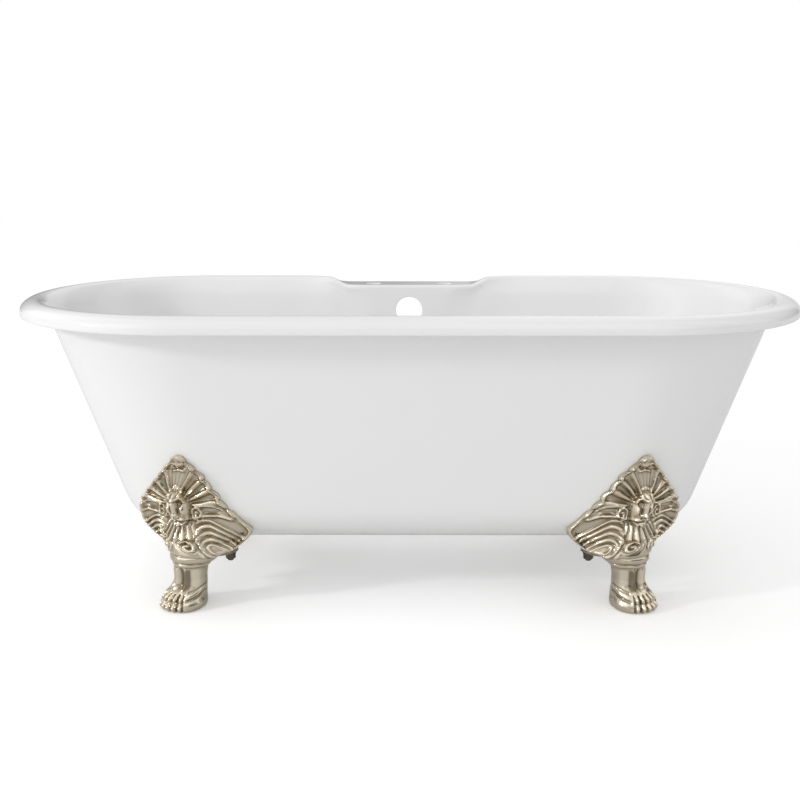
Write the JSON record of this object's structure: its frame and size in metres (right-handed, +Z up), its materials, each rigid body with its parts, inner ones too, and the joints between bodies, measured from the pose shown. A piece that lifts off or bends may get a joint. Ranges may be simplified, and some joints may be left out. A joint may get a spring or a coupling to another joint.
{
  "type": "roll-top bathtub",
  "caption": "Double-ended roll-top bathtub of white enamelled cast iron with a lowered tap deck, on lion-paw feet with levelling screws.",
  "frame": {"origin": "on the floor under the middle of the bath", "axes": "+X along the bath's length, +Y towards the side with the tap deck, +Z up"},
  "size_m": [1.727, 0.78, 0.6506],
  "materials": {
    "bath_enamel": "gloss white vitreous enamel on cast iron",
    "foot_nickel": "polished warm nickel plate on cast iron",
    "fastener_steel": "dull zinc-plated steel",
    "pad_nylon": "black moulded nylon"
  },
  "bodies": {
    "bath": {"bath_body": "bath_enamel", "foot_front_right": "foot_nickel", "mounting_studs_front_right": "fastener_steel", "washers_front_right": "fastener_steel", "nuts_front_right": "fastener_steel", "foot_front_left": "foot_nickel", "mounting_studs_front_left": "fastener_steel", "washers_front_left": "fastener_steel", "nuts_front_left": "fastener_steel", "foot_back_right": "foot_nickel", "mounting_studs_back_right": "fastener_steel", "washers_back_right": "fastener_steel", "nuts_back_right": "fastener_steel", "foot_back_left": "foot_nickel", "mounting_studs_back_left": "fastener_steel", "washers_back_left": "fastener_steel", "nuts_back_left": "fastener_steel"},
    "leveller_front_right": {"levelling_screw_front_right": "fastener_steel", "levelling_pad_front_right": "pad_nylon"},
    "leveller_front_left": {"levelling_screw_front_left": "fastener_steel", "levelling_pad_front_left": "pad_nylon"},
    "leveller_back_right": {"levelling_screw_back_right": "fastener_steel", "levelling_pad_back_right": "pad_nylon"},
    "leveller_back_left": {"levelling_screw_back_left": "fastener_steel", "levelling_pad_back_left": "pad_nylon"}
  },
  "joints": [
    {"name": "leveller_front_right_slide", "type": "slide", "parent": "bath", "child": "leveller_front_right", "axis": [0, 0, -1], "range_m": [0, 0.012]},
    {"name": "leveller_front_left_slide", "type": "slide", "parent": "bath", "child": "leveller_front_left", "axis": [0, 0, -1], "range_m": [0, 0.012]},
    {"name": "leveller_back_right_slide", "type": "slide", "parent": "bath", "child": "leveller_back_right", "axis": [0, 0, -1], "range_m": [0, 0.012]},
    {"name": "leveller_back_left_slide", "type": "slide", "parent": "bath", "child": "leveller_back_left", "axis": [0, 0, -1], "range_m": [0, 0.012]}
  ]
}
